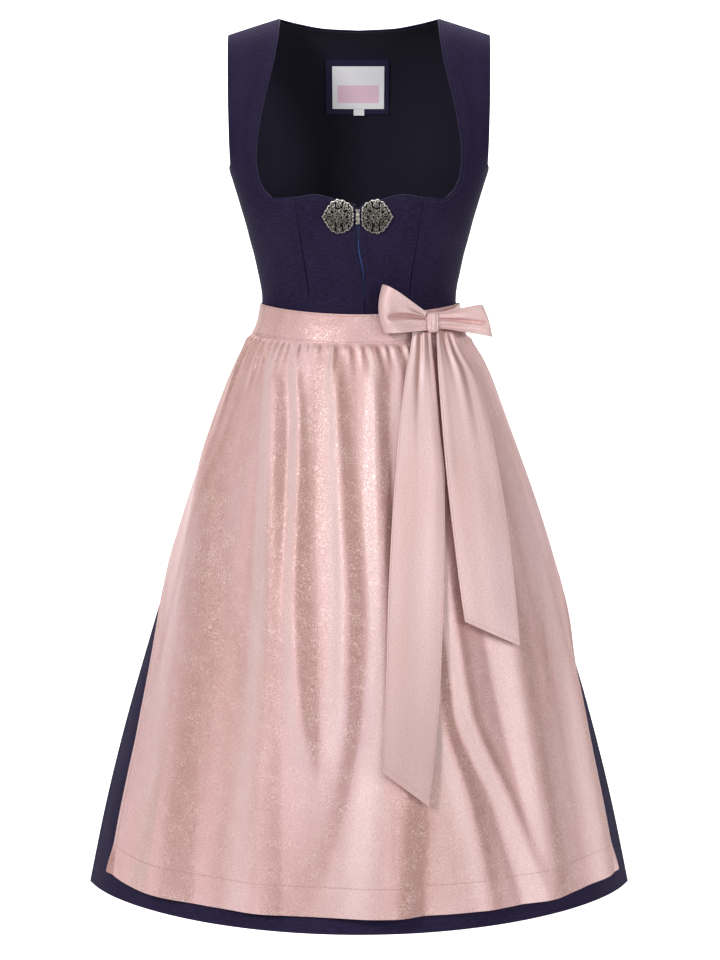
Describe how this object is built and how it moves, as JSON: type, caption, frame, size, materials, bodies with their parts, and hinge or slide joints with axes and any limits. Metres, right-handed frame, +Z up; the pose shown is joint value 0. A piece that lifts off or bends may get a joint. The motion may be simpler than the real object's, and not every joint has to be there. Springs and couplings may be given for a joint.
{
  "type": "dirndl",
  "caption": "Worn dirndl dress: fitted navy bodice with a wide neckline and a filigree clasp, full skirt, and a gathered rose apron tied in a bow.",
  "frame": {"origin": "middle of the shoulder line, level with the two points where the shoulder seams meet the neckline, where the wearer's shoulders hold the dress up", "axes": "+Z up, the front of the dress faces -Y, +X is the wearer's left, on which the bow lies"},
  "size_m": [0.6836, 0.5276, 1.082],
  "materials": {
    "navy": "fine horizontal rib, soft sheen",
    "lining": "matt lining",
    "rose": "shot taffeta with a fine damask scroll",
    "white": "woven satin label",
    "metal": "antique silver filigree",
    "tape": "zip tape"
  },
  "bodies": {
    "root": {"bodice_front_left": "navy", "bodice_front_right": "navy", "side_front_left": "navy", "side_front_right": "navy", "side_back_left": "navy", "side_back_right": "navy", "bodice_back": "navy", "back_lining": "lining", "label_patch": "lining", "label": "white", "size_tab": "white", "zip": "tape", "clasp_left": "metal", "clasp_right": "metal", "clasp_hook": "metal", "skirt_front": "navy", "skirt_back_left": "navy", "skirt_back_right": "navy", "apron_skirt": "rose", "apron_waistband": "rose", "tie_back": "rose", "bow_knot": "rose", "bow_loop_left": "rose", "bow_loop_right": "rose", "tail_left": "rose", "tail_right": "rose"}
  },
  "joints": []
}
